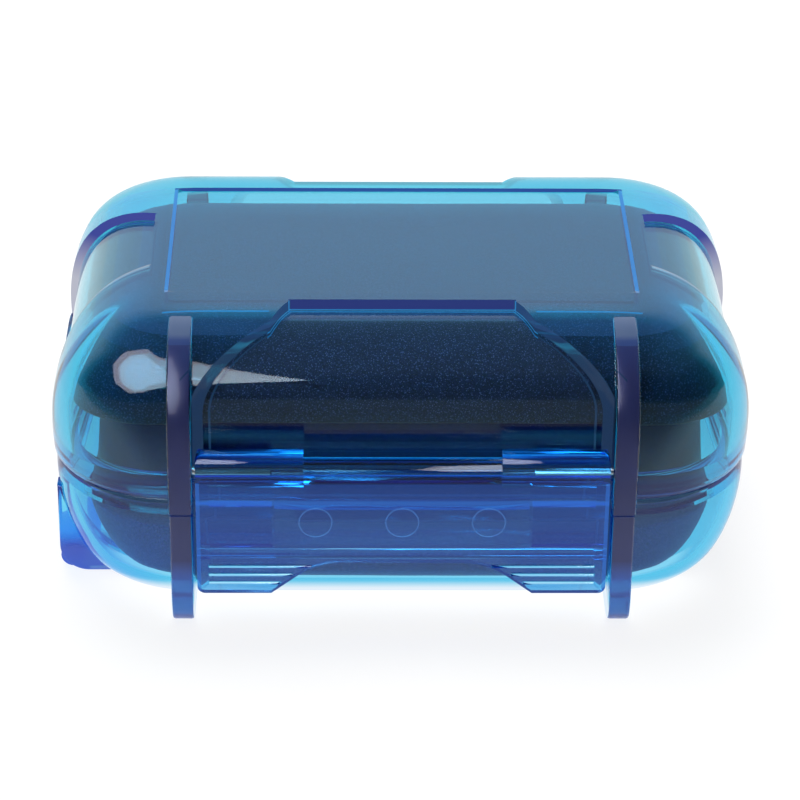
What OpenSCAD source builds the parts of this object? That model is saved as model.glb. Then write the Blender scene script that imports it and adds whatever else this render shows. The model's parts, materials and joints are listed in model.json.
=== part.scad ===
// Small hinged carrying case: two clear shells, a swinging front latch, a rear hinge and a soft lining.
// Millimetres, +Z up, the front at -Y. The origin is under the middle of the case, on the surface it stands on.

/* [Shells] */
// Width of the lid at the parting line, end to end
case_w = 109; // [104:0.5:116]
// Depth of the lid at the parting line, from front wall to rear wall
case_d = 69.4; // [66:0.2:74]
// Height from the feet to the top of the lid
case_h = 47.3; // [46:0.1:51]
// Height of the parting line above the feet
seam_z = 20.8; // [19.8:0.1:22]
// Wall thickness of the lid
lid_wall = 2.4; // [2.3:0.1:2.8]
// Wall thickness of the base
base_wall = 1.8; // [1.6:0.1:2.4]
// Radius of the shell corners at the parting line, seen from above
corner_r = 19.3; // [17:0.1:21]
// Width of both rims, across the wall
rim_w = 3; // [2.8:0.1:3.4]
// Height of the thicker rim, above and below the parting line
rim_h = 3.4; // [2.8:0.1:3.8]
// Gap between the two rims when the lid is shut
rim_gap = 0.2; // [0.1:0.05:0.3]
// How far the base stands back from the lid's outline
base_step = 0.4; // [0.2:0.05:0.6]
// Height of the base's underside above the feet
foot_h = 0.5; // [0.3:0.05:1]

/* [Lid shape] */
// How far the lid's ends draw in on the way to the top
lid_end_inset = 18.5; // [17:0.1:20]
// Height over which the lid's ends draw in
lid_end_rise = 24.4; // [20:0.1:25]
// How far the lid's front and rear draw in on the way to the top
lid_side_inset = 12; // [10:0.1:13]
// Height over which the lid's front and rear draw in
lid_side_rise = 12.3; // [10:0.1:14]
// Radius of the lid's corners at the top, seen from above
lid_corner_r = 9.7; // [8:0.1:12]

/* [Base shape] */
// How far the base's ends draw in on the way down
base_end_inset = 13.3; // [11:0.1:16]
// Height over which the base's ends draw in
base_end_rise = 18.2; // [15:0.1:19]
// How far the base's front and rear draw in on the way down
base_side_inset = 8.8; // [7:0.1:10]
// Height over which the base's front and rear draw in
base_side_rise = 7.2; // [6:0.1:9]
// Radius of the base's corners at the underside, seen from above
base_corner_r = 12.8; // [10:0.1:15]

/* [Lid features] */
// Width of the recessed label panel
label_w = 72; // [60:0.5:74]
// Length of the label panel, front to rear
label_d = 35.8; // [28:0.2:37]
// Depth of the label panel
label_depth = 0.4; // [0.2:0.05:0.6]
// Radius of the label panel's corners
label_r = 1; // [0.5:0.1:3]
// How far the features on the lid's top lie to the rear of the middle
top_shift = 1.5; // [0:0.1:1.6]
// Depth of the latch recess and of its twin behind
recess_depth = 1.5; // [1.3:0.05:1.6]
// Distance of the recesses' upper steps from the middle of the top
notch_y = 21; // [20:0.1:21.5]
// Half width of the recesses at their upper steps
notch_x = 17.1; // [14:0.1:19]
// Distance from the middle of the top at which the recesses reach the ribs
flare_y = 37.2; // [35:0.1:39]
// Depth of the channels over the lid's ends
band_depth = 1.2; // [0.8:0.05:1.5]
// Distance of the channels' inner ends from the middle
band_x = 39.2; // [38.4:0.1:41]
// Half width of the channels at their inner ends
band_y = 9; // [7:0.1:11]
// Half width of the channels at the ends of the lid
band_out_y = 19.3; // [16:0.1:21]

/* [Ribs] */
// Distance of the ribs' centre planes from the middle
rib_x = 33.6; // [33.2:0.1:35]
// Thickness of the lid's ribs
lid_rib_t = 3.7; // [3.4:0.1:4]
// Thickness of the base's ribs
base_rib_t = 3.4; // [3:0.1:3.6]
// Height by which the ribs stand out of the lid's wall
rib_h = 4.7; // [4.6:0.05:5.2]
// Radius of the front ribs' upper ends
rib_top_r = 15; // [13:0.1:16]
// Radius of the rear ribs' upper ends
rear_rib_top_r = 20; // [18.5:0.1:22]
// Radius of the ribs' lower outer corners
rib_foot_r = 5; // [3:0.1:6]

/* [Latch] */
// Gap between the latch and the ribs beside it
latch_side_gap = 0.45; // [0.3:0.05:0.8]
// How far the latch's face lies behind the ribs' faces
latch_sink = 0.6; // [0.4:0.05:0.8]
// Height of the latch pins above the parting line
latch_pin_z = 6.5; // [6.3:0.1:7]
// Radius of the latch's barrel
barrel_r = 2; // [1.8:0.05:2.1]
// How far the barrel lies behind the latch's face
barrel_sink = 0.1; // [0.05:0.05:0.2]
// Thickness of the latch plate
plate_t = 1.6; // [1.4:0.05:1.8]
// Height of the latch's lower edge above the feet
latch_low = 6.6; // [5.5:0.1:7.4]
// Radius of the latch's outer corners
latch_corner_r = 1.2; // [0.6:0.1:2]
// Width of the barrel's bare middle, between the knuckles
knuckle_gap = 30; // [24:0.5:34]
// Depth of the knuckles behind the pin
knuckle_d = 1.5; // [1.2:0.05:1.6]
// Height of the knuckles above the pin
knuckle_h = 3.1; // [2.6:0.05:3.2]
// Depth of the knuckles below the pin
knuckle_low = 2.4; // [2.1:0.05:2.8]
// Width of the rails down the latch's sides
rail_w = 2; // [1.5:0.1:3]
// Depth of the rails behind the plate
rail_d = 1; // [0.6:0.05:1.2]
// Depth of the pads behind the plate, beside the catch
pad_d = 1.6; // [1:0.05:1.7]
// Height of the pads
pad_h = 7.1; // [5:0.1:7.4]
// Free height between the hook lip and the pads
pad_rise = 1; // [0.8:0.1:1.4]
// Radius of the round ejector marks on the latch's back
mark_r = 2.5; // [2:0.1:2.8]
// Depth of those marks
mark_depth = 0.15; // [0.1:0.05:0.3]
// Distance between the marks' centres
mark_pitch = 13.15; // [11:0.05:14]
// Width of the finger arch's level top
arch_w = 18; // [14:0.5:22]
// Height of the finger arch
arch_h = 5.5; // [4:0.1:5.6]
// Radius of the arch's shoulders
arch_r = 11.5; // [8:0.1:12]
// Slope of the arch's sides, in degrees
arch_slope = 38; // [34:1:45]
// Width of the catch on the base
catch_w = 39; // [30:0.5:39.4]
// Depth of the hook lip behind the plate
hook_d = 1.5; // [1.3:0.05:1.6]
// Height of the hook lip
hook_h = 1; // [0.8:0.05:1.1]
// Gap between the latch plate and the catch
catch_gap = 0.9; // [0.6:0.05:1]
// How far the catch's top lies below the base's rim
catch_drop = 0.2; // [0.1:0.05:0.6]
// Free height between the hook lip and the catch
hook_gap = 0.3; // [0.2:0.05:0.4]
// Radius of the grip grooves
grip_r = 0.35; // [0.2:0.05:0.5]
// Spacing of the grip grooves
grip_pitch = 1.5; // [1.3:0.05:1.6]

/* [Pins and hinge] */
// Radius of the steel pins
pin_r = 0.75; // [0.6:0.05:0.9]
// Length of each pin
pin_l = 15; // [12:0.1:16]
// Depth of the pins' outer ends inside the ribs' faces
pin_inset = 0.5; // [0.3:0.05:0.8]
// Radial clearance of the pins in the ribs that hold them
pin_press = 0.01; // [0.01:0.005:0.02]
// Radial clearance of the pins in the pieces that turn on them
pin_run = 0.06; // [0.04:0.01:0.08]
// Radius of the hinge barrel and of the ears
hinge_r = 2.2; // [2:0.05:2.25]

/* [Seal] */
// Width of the rim seal
seal_w = 1.3; // [1:0.05:1.4]
// Height of the rim seal
seal_h = 0.95; // [0.7:0.05:1.1]
// Clearance of the seal across its groove, both sides together
groove_gap = 0.1; // [0.06:0.02:0.2]
// Width of the tongue under the lid's rim
tongue_w = 0.8; // [0.6:0.05:0.9]
// Height of that tongue
tongue_h = 0.5; // [0.4:0.05:0.6]
// Gap between the tongue and the seal
tongue_gap = 0.1; // [0.05:0.05:0.2]

/* [Lining] */
// Clearance of the soft pieces from what holds them
soft_gap = 0.3; // [0.2:0.05:0.4]
// How far the lid foam's ends draw in from the lid's inner wall on the way up
lid_foam_end_lean = 4; // [0:0.5:6]
// How far the lid foam's rear draws in from the lid's inner wall on the way up
lid_foam_rear_lean = 8; // [4:0.5:10]
// How much rounder than the lid's the lid foam's upper corners are
lid_foam_round = 4; // [0:0.5:6]
// Height of the base foam's flat top above the feet
base_foam_top = 14.9; // [13:0.1:15.2]
// How much shorter than the base's inside the base foam is at each end
base_foam_short = 2.2; // [0:0.1:4]
// Height of the tray
tray_h = 17.1; // [15:0.1:17.6]
// Wall and floor thickness of the tray
tray_wall = 1.6; // [1.2:0.1:2]
// Clearance of the tray from the rim at the front and rear
tray_side_gap = 0.5; // [0.4:0.05:1]
// Clearance of the tray from the rim at the ends
tray_end_gap = 2.9; // [1:0.1:3.4]
// How far the tray's walls lean in over its height
tray_draft = 1.2; // [1:0.05:1.6]

/* [Lanyard loop] */
// Radius of the lanyard bar
bar_r = 2; // [1.6:0.05:2.2]
// How far the bar and its plates stay inside the base's outline
lug_inset = 0.3; // [0.1:0.05:0.6]
// Thickness of the plates that carry the bar
lug_t = 3; // [2.5:0.1:3.5]
// Distance between the outer faces of those plates
lug_span = 44; // [34:0.5:46]
// Height of the plates' upper ends above the feet
lug_h = 15.7; // [12:0.1:16.5]
// Radius of the plates' lower outer corners
lug_r = 4.5; // [3:0.1:5]

/* [Hidden] */
$fn = 48;

clear_blue = [0.05, 0.36, 0.78, 0.55];
deep_blue = [0.08, 0.22, 0.66, 0.7];
steel = [0.75, 0.76, 0.78];
sponge = [0.05, 0.09, 0.16];
black = [0.04, 0.05, 0.08];

// Overrun of the cuts past the faces that they open
over = 1;

// Squareness of the rounded stretches: 2 is an ellipse, more is squarer
lid_end_power = 2.45;
lid_side_power = 1.8;
base_end_power = 1.94;
base_side_power = 2;

// Steps of a corner and rings of a shell and of the lining
corner_steps = 8;
shell_rings = 12;
lining_rings = 9;

// Course of the recess's sides from its upper step to the ribs, and of the channel's from its inner end
recess_shares = [[0, 0], [0.08, 0.14], [0.18, 0.35], [1, 1]];
band_shares = [[0, 0], [0.17, 0.12], [0.38, 0.27], [0.61, 0.48], [0.78, 0.7], [1, 1]];

// Heights and distances that several pieces share
lid_low = seam_z + rim_gap / 2;
base_top = seam_z - rim_gap / 2;
rib_reach = case_d / 2 + rib_h;
rib_top = case_h - rim_gap;
foot_in = case_d / 2 - base_step - base_side_inset - over;
rim_inset = base_step + rim_w;
groove_w = seal_w + groove_gap;
groove_inset = base_step + (rim_w - groove_w) / 2;
groove_depth = seal_h + tongue_h + tongue_gap - rim_gap;

// The latch pins' axis, its distance in front of the middle and its height
latch_face = rib_reach - latch_sink;
latch_y = latch_face - barrel_r - barrel_sink;
latch_z = seam_z + latch_pin_z;
latch_w = 2 * (rib_x - lid_rib_t / 2 - latch_side_gap);
plate_back = latch_face - plate_t;
arch_top = latch_low + arch_h;
hook_top = arch_top + hook_gap + hook_h;
pad_low = hook_top + pad_rise;
mark_z = hook_top + hook_gap + 2 * mark_r;

// The hinge pins' axis, its distance behind the middle and its height
hinge_y = rib_reach - hinge_r;
hinge_z = seam_z;
hinge_w = latch_w;
rear_rib_low = seam_z + 2 * hinge_r + hook_gap;

// The lining's levels and outlines
foam_low = foot_h + base_wall + soft_gap;
foam_high = case_h - lid_wall - soft_gap;
tray_low = base_foam_top + soft_gap;
tray_top = tray_low + tray_h;
lid_foam_low = tray_top + soft_gap;
tray_x = case_w / 2 - rim_inset - tray_end_gap;
tray_y = case_d / 2 - rim_inset - tray_side_gap;
tray_r = corner_r - rim_inset - tray_side_gap;

// Share of a rounded stretch that is behind, and how far the outline has turned in by then
function climb(way, rise) = min(1, max(0, way / rise));
function bulge(s, power) = 1 - pow(max(0, 1 - pow(s, power)), 1 / power);
function blend(a, b, k) = a + (b - a) * k;

// Half width, half depth and corner radius of the lid at height z, t inside its outer face
function lid_section(z, t) =
    let (at_end = climb(z - case_h + lid_end_rise, lid_end_rise - t),
        at_side = climb(z - case_h + lid_side_rise, lid_side_rise - t),
        k = (z - seam_z) / (case_h - seam_z))
    [case_w / 2 - t - (lid_end_inset - t) * bulge(at_end, lid_end_power),
        case_d / 2 - t - (lid_side_inset - t) * bulge(at_side, lid_side_power),
        blend(corner_r, lid_corner_r, k) - t];

// The same of the base
function base_section(z, t) =
    let (at_end = climb(foot_h + base_end_rise - z, base_end_rise - t),
        at_side = climb(foot_h + base_side_rise - z, base_side_rise - t),
        k = (seam_z - z) / (seam_z - foot_h))
    [case_w / 2 - base_step - t - (base_end_inset - t) * bulge(at_end, base_end_power),
        case_d / 2 - base_step - t - (base_side_inset - t) * bulge(at_side, base_side_power),
        blend(corner_r, base_corner_r, k) - t];

// Level, half width, half depth, corner radius and shift to the rear of the lid foam at height z
function lid_foam_row(z) =
    let (k = (z - lid_foam_low) / (foam_high - lid_foam_low), s = lid_section(z, lid_wall + soft_gap),
        rear = lid_foam_rear_lean * k * k)
    [z, s[0] - lid_foam_end_lean * k * k, s[1] - rear / 2, s[2] + lid_foam_round * k, -rear / 2];

// Level, half width, half depth and corner radius of the base foam at height z
function base_foam_row(z) =
    let (s = base_section(z, base_wall + soft_gap)) [z, s[0] - base_foam_short, s[1], s[2]];

// Heights from low to high, closer together at the upper or at the lower end
function rising(low, high, n) = [for (i = [0:n]) blend(low, high, sin(90 * i / n))];
function falling(low, high, n) = [for (i = [n:-1:0]) blend(high, low, sin(90 * i / n))];

// Points of a rounded rectangle, counter-clockwise from above
function outline(hw, hd, r) = [for (q = [0:3]) for (i = [0:corner_steps])
    let (a = 90 * (q + i / corner_steps), sx = q == 0 || q == 3 ? 1 : -1, sy = q < 2 ? 1 : -1)
    [sx * (hw - r) + r * cos(a), sy * (hd - r) + r * sin(a)]];

// Points of an arc round [x, y] from angle a to angle b
function arc(x, y, r, a, b, n = 6) = [for (i = [0:n])
    let (t = blend(a, b, i / n)) [x + r * cos(t), y + r * sin(t)]];

// Half width of the finger arch at height z
function arch_half(z) =
    let (drop = arch_top - z, bend = arch_r * (1 - cos(arch_slope)))
    arch_w / 2 + (drop < bend ? arch_r * sin(acos(1 - drop / arch_r))
        : arch_r * sin(arch_slope) + (drop - bend) / tan(arch_slope));

// A closed skin over a list of sections, each [z, half width, half depth, corner radius]
module loft(sections) {
    n = 4 * (corner_steps + 1);
    last = len(sections) - 1;
    points = [for (s = sections) let (dy = len(s) > 4 ? s[4] : 0)
        for (p = outline(s[1], s[2], s[3])) [p[0], p[1] + dy, s[0]]];
    sides = [for (k = [0:last - 1]) for (j = [0:n - 1])
        let (a = k * n + j, b = k * n + (j + 1) % n, c = a + n, d = b + n)
        each [[a, c, d], [a, d, b]]];
    low_cap = [for (j = [0:n - 1]) j];
    high_cap = [for (j = [n - 1:-1:0]) last * n + j];
    polyhedron(points = points, faces = concat(sides, [low_cap], [high_cap]));
}

// The lid's form from height low up, and the base's up to height high, t inside their outer faces
module lid_form(t, low, rings) {
    loft([for (z = rising(low, case_h - t, rings)) concat([z], lid_section(z, t))]);
}

module base_form(t, high, rings) {
    loft([for (z = falling(foot_h + t, high, rings)) concat([z], base_section(z, t))]);
}

// A rounded rectangle with true arcs
module round_rect(hw, hd, r) {
    square([2 * hw, 2 * (hd - r)], center = true);
    square([2 * (hw - r), 2 * hd], center = true);
    for (x = [r - hw, hw - r], y = [r - hd, hd - r]) translate([x, y]) circle(r);
}

// The outline of the parting line, drawn in by inset
module rim_outline(inset) {
    round_rect(case_w / 2 - inset, case_d / 2 - inset, corner_r - inset);
}

// A ring under the rim's course, w wide and h high
module rim_ring(inset, w, low, h) {
    translate([0, 0, low]) linear_extrude(h) difference() {
        rim_outline(inset);
        rim_outline(inset + w);
    }
}

// Turns an outline of distances from the middle and heights into a plate between x0 and x1
module side_plate(x0, x1) {
    translate([x0, 0, 0]) rotate([90, 0, 90]) linear_extrude(x1 - x0) children();
}

module rib_plate(x, t) {
    side_plate(x - t / 2, x + t / 2) children();
}

module in_front() {
    mirror([0, 1, 0]) children();
}

module rod_x(r, x0, x1, y, z) {
    translate([x0, y, z]) rotate([0, 90, 0]) cylinder(r = r, h = x1 - x0);
}

// Side outline of a lid rib that starts at height low and has an upper end of radius r
module lid_rib_outline(low, r) {
    turn_y = rib_reach - r;
    turn_z = rib_top - r;
    intersection() {
        translate([turn_y, low]) square([r, rib_top - low]);
        union() {
            translate([turn_y, turn_z]) circle(r);
            translate([turn_y, turn_z - case_h]) square([r, case_h]);
        }
    }
}

// Side outline of a base rib, down to its foot
module base_rib_outline() {
    turn_y = rib_reach - rib_foot_r;
    translate([foot_in, rib_foot_r]) square([rib_reach - foot_in, base_top - rib_foot_r]);
    translate([foot_in, 0]) square([turn_y - foot_in, rib_foot_r]);
    intersection() {
        translate([turn_y, rib_foot_r]) circle(rib_foot_r);
        translate([turn_y, 0]) square(rib_foot_r);
    }
}

// Plan of the recess that the latch's knuckles turn in
module recess_plan() {
    side = [for (s = recess_shares) [blend(notch_x, rib_x, s[0]), blend(notch_y, flare_y, s[1])]];
    rim = [[rib_x, rib_reach], [-rib_x, rib_reach]];
    polygon(concat(side, rim, [for (i = [len(side) - 1:-1:0]) [-side[i][0], side[i][1]]]));
}

// Plan of the channel over the right end, which widens outwards
module band_plan() {
    reach = case_w / 2 + over;
    side = [for (s = band_shares) [blend(band_x, reach, s[0]), blend(band_y, band_out_y, s[1])]];
    polygon(concat(side, [for (i = [len(side) - 1:-1:0]) [side[i][0], -side[i][1]]]));
}

// Everything over the rim, above the plan, that lies less than t inside the lid's face
module skin_cut(t) {
    difference() {
        translate([0, top_shift, lid_low + rim_h]) linear_extrude(case_h) children();
        lid_form(t, seam_z, shell_rings);
    }
}

// The lid's half of the hinge: a long barrel on a short web
module hinge_barrel() {
    web_root = case_d / 2 - lid_wall / 2;
    rod_x(hinge_r, -hinge_w / 2, hinge_w / 2, hinge_y, hinge_z);
    translate([-hinge_w / 2, web_root, lid_low]) cube([hinge_w, hinge_y - web_root, hinge_r - rim_gap * 2]);
}

module lid_cavity() {
    translate([0, 0, lid_low - over]) linear_extrude(rim_h + 2 * over) rim_outline(rim_inset);
    lid_form(lid_wall, lid_low + rim_h, lining_rings);
}

module lid_shell() {
    pin_hole_r = pin_r + pin_press;
    color(clear_blue) difference() {
        union() {
            difference() {
                lid_form(0, lid_low, shell_rings);
                skin_cut(recess_depth) recess_plan();
                skin_cut(recess_depth) mirror([0, 1]) recess_plan();
                skin_cut(band_depth) band_plan();
                skin_cut(band_depth) mirror([1, 0]) band_plan();
                translate([0, top_shift, case_h - label_depth]) linear_extrude(over)
                    round_rect(label_w / 2, label_d / 2, label_r);
            }
            for (x = [-rib_x, rib_x]) {
                in_front() rib_plate(x, lid_rib_t) lid_rib_outline(lid_low, rib_top_r);
                rib_plate(x, lid_rib_t) lid_rib_outline(rear_rib_low, rear_rib_top_r);
            }
            hinge_barrel();
            rim_ring(groove_inset + (groove_w - tongue_w) / 2, tongue_w, lid_low - tongue_h, tongue_h + over);
        }
        lid_cavity();
        for (x = [-rib_x, rib_x]) rod_x(pin_hole_r, x - lid_rib_t, x + lid_rib_t, -latch_y, latch_z);
        rod_x(pin_r + pin_run, -hinge_w, hinge_w, hinge_y, hinge_z);
    }
}

// The block on the base that the latch's lip snaps under
module latch_catch() {
    low = hook_top + hook_gap;
    high = base_top - catch_drop;
    root = case_d / 2 - base_step - base_wall / 2;
    tip = plate_back - catch_gap;
    in_front() side_plate(-catch_w / 2, catch_w / 2) polygon([[root, low], [tip, low],
        [tip, high - hook_gap], [tip - hook_gap, high], [root, high]]);
}

// Two plates under the left end and the bar between them
module lanyard_loop() {
    face = case_w / 2 - base_step - lug_inset;
    root = case_w / 2 - base_step - base_end_inset;
    for (y = [-lug_span / 2, lug_span / 2 - lug_t])
        translate([0, y + lug_t, 0]) rotate([90, 0, 0]) linear_extrude(lug_t) mirror([1, 0]) {
            translate([face - lug_r, lug_r]) circle(lug_r);
            translate([root, lug_r]) square([face - root, lug_h - lug_r]);
            translate([root, 0]) square([face - lug_r - root, lug_h]);
        }
    translate([bar_r - face, (lug_span - lug_t) / 2, bar_r]) rotate([90, 0, 0])
        cylinder(r = bar_r, h = lug_span - lug_t);
}

module base_cavity() {
    translate([0, 0, base_top - rim_h - over]) linear_extrude(rim_h + 2 * over) rim_outline(rim_inset);
    base_form(base_wall, base_top - rim_h, lining_rings);
}

module base_shell() {
    pin_hole_r = pin_r + pin_press;
    color(clear_blue) difference() {
        union() {
            base_form(0, base_top, shell_rings);
            for (x = [-rib_x, rib_x]) {
                in_front() rib_plate(x, base_rib_t) base_rib_outline();
                rib_plate(x, base_rib_t) base_rib_outline();
                rod_x(hinge_r, x - base_rib_t / 2, x + base_rib_t / 2, hinge_y, hinge_z);
            }
            latch_catch();
            lanyard_loop();
        }
        base_cavity();
        rim_ring(groove_inset, groove_w, base_top - groove_depth, groove_depth + over);
        for (x = [-rib_x, rib_x]) rod_x(pin_hole_r, x - base_rib_t, x + base_rib_t, hinge_y, hinge_z);
    }
}

// Front outline of the latch: rounded corners and the finger arch
module latch_outline() {
    high = latch_z + knuckle_h;
    steps = 8;
    difference() {
        translate([0, (high + latch_low) / 2])
            round_rect(latch_w / 2, (high - latch_low) / 2, latch_corner_r);
        polygon(concat([[-arch_half(latch_low), latch_low - over], [arch_half(latch_low), latch_low - over]],
            [for (i = [0:steps]) let (z = blend(latch_low, arch_top, sin(90 * i / steps))) [arch_half(z), z]],
            [for (i = [steps:-1:0]) let (z = blend(latch_low, arch_top, sin(90 * i / steps)))
                [-arch_half(z), z]]));
    }
}

// Side outline of a knuckle: a block round the pin with rounded upper corners
module knuckle_outline() {
    back = latch_y - knuckle_d;
    high = latch_z + knuckle_h;
    low = latch_z - knuckle_low;
    edge = knuckle_d / 2;
    polygon(concat([[back, low], [latch_face, low]],
        arc(latch_face - knuckle_d, high - knuckle_d, knuckle_d, 0, 90),
        arc(back + edge, high - edge, edge, 90, 180)));
}

// The latch's pieces at both ends: knuckle, rail and pad
module latch_end() {
    side_plate(knuckle_gap / 2, latch_w / 2) knuckle_outline();
    side_plate(latch_w / 2 - rail_w, latch_w / 2)
        translate([plate_back - rail_d, arch_top]) square([rail_d + plate_t, latch_z - arch_top]);
    side_plate(catch_w / 2 + hook_gap, latch_w / 2)
        translate([plate_back - pad_d, pad_low]) square([pad_d + plate_t, pad_h]);
}

// Grip grooves across the tab at the right end
module grip_grooves() {
    for (i = [1:3]) {
        z = latch_low + arch_h - (i - 0.5) * grip_pitch + grip_pitch / 10;
        rod_x(grip_r, arch_half(z) + 3 * grip_r, latch_w / 2 - 5 * grip_r, latch_face, z);
    }
}

module latch() {
    color(deep_blue) in_front() difference() {
        intersection() {
            union() {
                side_plate(-latch_w / 2, latch_w / 2) {
                    translate([plate_back, latch_low]) square([plate_t, latch_z - latch_low]);
                    translate([latch_y, latch_z]) circle(barrel_r);
                }
                side_plate(-latch_w / 2, latch_w / 2) translate([plate_back - hook_d, hook_top - hook_h])
                    square([hook_d + plate_t, hook_h]);
                latch_end();
                mirror([1, 0, 0]) latch_end();
            }
            translate([0, rib_reach, 0]) rotate([90, 0, 0]) linear_extrude(rib_reach) latch_outline();
        }
        rod_x(pin_r + pin_run, -latch_w, latch_w, latch_y, latch_z);
        for (i = [-1:1]) translate([i * mark_pitch, plate_back + mark_depth, mark_z])
            rotate([90, 0, 0]) cylinder(r = mark_r, h = plate_t);
        grip_grooves();
        mirror([1, 0, 0]) grip_grooves();
    }
}

// A pin at the right end, whose outer end lies inside a rib that is t thick
module pin(t, y, z) {
    outer = rib_x + t / 2 - pin_inset;
    color(steel) rod_x(pin_r, outer - pin_l, outer, y, z);
}

module latch_pin_right() pin(lid_rib_t, -latch_y, latch_z);
module latch_pin_left() mirror([1, 0, 0]) latch_pin_right();
module hinge_pin_right() pin(base_rib_t, hinge_y, hinge_z);
module hinge_pin_left() mirror([1, 0, 0]) hinge_pin_right();

module rim_seal() {
    color(black) rim_ring(groove_inset + groove_gap / 2, seal_w, base_top - groove_depth, seal_h);
}

module lid_foam() {
    color(sponge) loft([for (z = rising(lid_foam_low, foam_high, lining_rings)) lid_foam_row(z)]);
}

module base_foam() {
    color(sponge) loft([for (z = falling(foam_low, base_foam_top, lining_rings)) base_foam_row(z)]);
}

// An open tub whose walls lean in
module tray() {
    floor_z = tray_low + tray_wall;
    lean = tray_draft / tray_h;
    color(black) difference() {
        loft([[tray_low, tray_x, tray_y, tray_r], [tray_top, tray_x - tray_draft, tray_y - tray_draft,
            tray_r - tray_draft]]);
        loft([for (z = [floor_z, tray_top + over]) let (t = tray_wall + (z - tray_low) * lean)
            [z, tray_x - t, tray_y - t, tray_r - t]]);
    }
}

base_shell();
lid_shell();
latch();
latch_pin_left();
latch_pin_right();
hinge_pin_left();
hinge_pin_right();
rim_seal();
lid_foam();
tray();
base_foam();
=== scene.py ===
"""The looks of a small clear blue carrying case on a white table.

Shells, latch, pins, seal and lining are modelled in millimetres, then brought to metres."""

import json
import math

import bmesh
import bpy
from mathutils import Euler, Matrix, Vector, noise


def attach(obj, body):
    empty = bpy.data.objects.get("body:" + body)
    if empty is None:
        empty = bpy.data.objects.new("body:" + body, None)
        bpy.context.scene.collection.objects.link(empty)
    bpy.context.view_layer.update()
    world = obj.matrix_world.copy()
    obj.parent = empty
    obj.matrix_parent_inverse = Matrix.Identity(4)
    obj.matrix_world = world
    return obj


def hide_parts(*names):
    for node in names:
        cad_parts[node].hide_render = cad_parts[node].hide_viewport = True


MM = 0.001
PHOTO = 800
CORNER_STEPS, LONG_STEPS, SHORT_STEPS, RINGS = 16, 16, 8, 40


# Solids


def ring(z, half_x, half_y, r, shift=0):
    """Points round a rounded rectangle at height z, its straight sides cut into short lengths."""
    points = []
    centres = [(1, 1), (-1, 1), (-1, -1), (1, -1)]
    for quarter, (sx, sy) in enumerate(centres):
        centre = Vector((sx * (half_x - r), sy * (half_y - r) + shift, z))
        for i in range(CORNER_STEPS + 1):
            a = math.pi / 2 * (quarter + i / CORNER_STEPS)
            points.append(centre + r * Vector((math.cos(a), math.sin(a), 0)))
        long = quarter % 2 == 0
        steps, span = (LONG_STEPS, 2 * (half_x - r)) if long else (SHORT_STEPS, 2 * (half_y - r))
        along = Vector((-sx, 0, 0)) if long else Vector((0, -sy, 0))
        start = points[-1]
        points += [start + along * span * i / steps for i in range(1, steps)]
    return points


def loft(rings, closed=False):
    """A skin through rings of equally many points, capped at both ends or closed on itself."""
    bm = bmesh.new()
    place = bm.verts.layers.int.new("place")
    bmesh.ops.create_circle(bm, cap_ends=not closed, segments=len(rings[0]), radius=1)
    for i, vert in enumerate(bm.verts):
        vert[place] = i
        vert.co = rings[0][i]
    first = last = list(bm.edges)
    for points in rings[1:]:
        made = bmesh.ops.extrude_edge_only(bm, edges=last)["geom"]
        fresh = {v for v in made if isinstance(v, bmesh.types.BMVert)}
        last = [e for e in made if isinstance(e, bmesh.types.BMEdge) and fresh.issuperset(e.verts)]
        for vert in fresh:
            vert.co = points[vert[place]]
    if closed:
        bmesh.ops.bridge_loops(bm, edges=first + last)
    else:
        bmesh.ops.contextual_create(bm, geom=last)
    bm.verts.layers.int.remove(place)
    return bm


def prism(outline, low, high):
    """A solid with the given outline between two heights."""
    bm = bmesh.new()
    face = bm.faces.new([bm.verts.new((x, y, low)) for x, y in outline])
    made = bmesh.ops.extrude_face_region(bm, geom=[face])["geom"]
    top = [v for v in made if isinstance(v, bmesh.types.BMVert)]
    bmesh.ops.translate(bm, verts=top, vec=(0, 0, high - low))
    return bm


def soften(bm, width, edges=None, segments=3):
    bmesh.ops.bevel(
        bm,
        geom=list(edges or bm.edges),
        offset=width,
        offset_type="OFFSET",
        affect="EDGES",
        segments=segments,
        profile=0.5,
        material=-1,
        clamp_overlap=True,
    )
    return bm


def side_plate(outline, x0, x1, soft=0):
    """A plate between two widths whose side outline is given as depths and heights."""
    bm = prism(outline, x0, x1)
    turn = Matrix(((0, 0, 1, 0), (1, 0, 0, 0), (0, 1, 0, 0), (0, 0, 0, 1)))
    bmesh.ops.transform(bm, matrix=turn, verts=bm.verts)
    if soft:
        rim = [e for e in bm.edges if abs(e.verts[0].co.x - e.verts[1].co.x) < 0.001]
        soften(bm, soft, rim)
    return bm


def rod(r, x0, x1, y, z, soft=0, segments=48):
    """A round bar along the case's width."""
    bm = bmesh.new()
    spot = Matrix.Translation(((x0 + x1) / 2, y, z)) @ Matrix.Rotation(math.pi / 2, 4, "Y")
    bmesh.ops.create_cone(
        bm, cap_ends=True, segments=segments, radius1=r, radius2=r, depth=x1 - x0, matrix=spot
    )
    if soft:
        soften(bm, soft, [e for e in bm.edges if abs(e.verts[0].co.x - e.verts[1].co.x) < 0.001])
    return bm


def block(low, high, soft=0):
    """A box between two corners, with softened edges."""
    low, high = Vector(low), Vector(high)
    bm = bmesh.new()
    spot = Matrix.Translation((low + high) / 2) @ Matrix.Diagonal((*(high - low), 1))
    bmesh.ops.create_cube(bm, size=1, matrix=spot)
    return soften(bm, soft) if soft else bm


def mirrored(bm, axis):
    """The same solid on the other side."""
    bmesh.ops.scale(bm, vec=[-1 if i == axis else 1 for i in range(3)], verts=bm.verts)
    bmesh.ops.reverse_faces(bm, faces=bm.faces)
    return bm


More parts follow.
